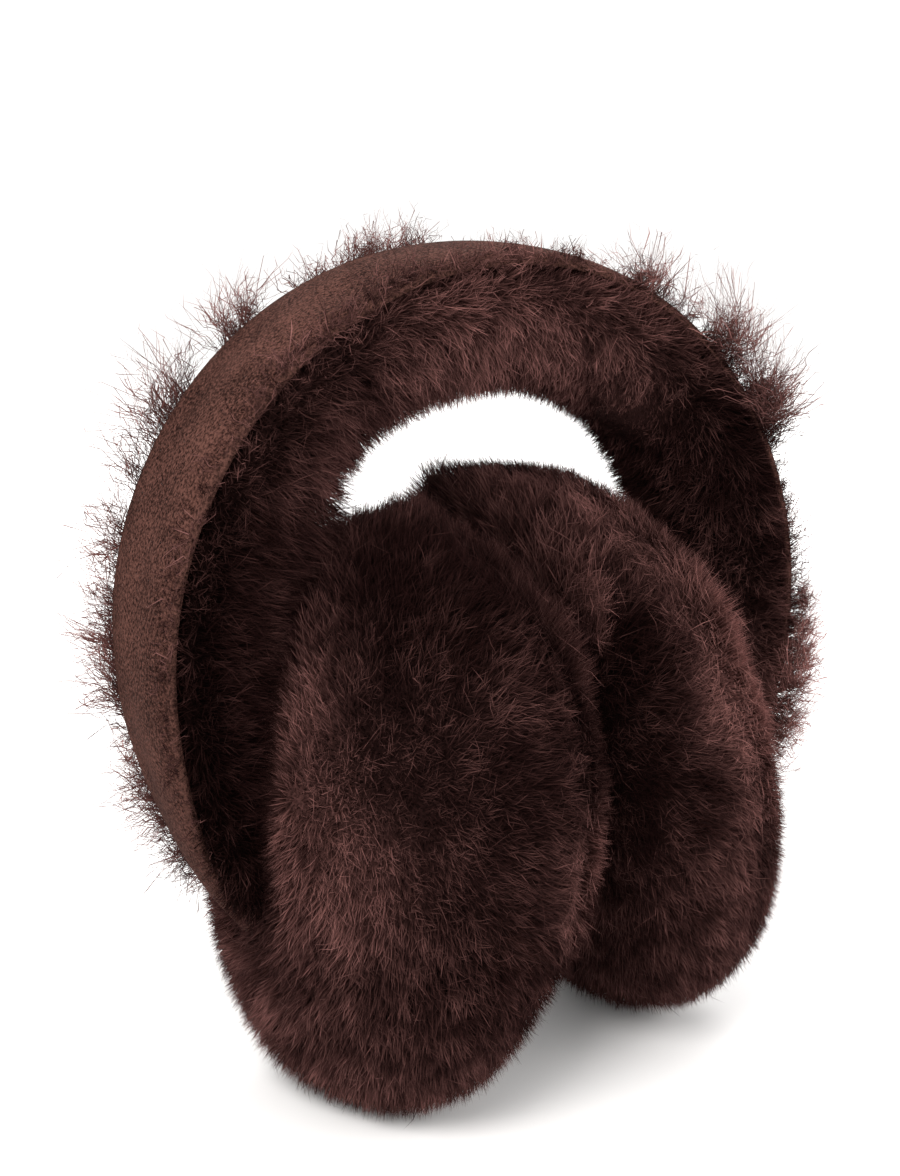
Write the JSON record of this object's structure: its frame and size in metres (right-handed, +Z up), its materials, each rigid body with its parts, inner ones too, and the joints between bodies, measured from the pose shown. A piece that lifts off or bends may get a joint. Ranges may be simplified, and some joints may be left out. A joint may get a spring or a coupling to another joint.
{
  "type": "fur earmuffs",
  "caption": "Deep-fur earmuffs: a suede-backed fur headband whose arms curl down into plump round fur ear pads that press together, standing upright.",
  "frame": {"origin": "on the floor under the middle of the object's box, between the flattened bottoms of the ear pieces", "axes": "+Z up through the crown of the headband, +X to the viewer's right and the wearer's left with -Y as the front, so +Y runs to the back, across the headband's width"},
  "size_m": [0.1712, 0.1328, 0.1912],
  "materials": {
    "suede": "matt brown suede with a fine pitted nap, lighter where it is worn along the edges",
    "fur": "deep dark chocolate sheepskin fur with paler curled tips"
  },
  "bodies": {
    "root": {"band_suede": "suede", "band_fur": "fur", "ear_pad_left": "fur", "ear_pad_right": "fur", "ear_cup_left": "fur", "ear_cup_right": "fur"}
  },
  "joints": []
}
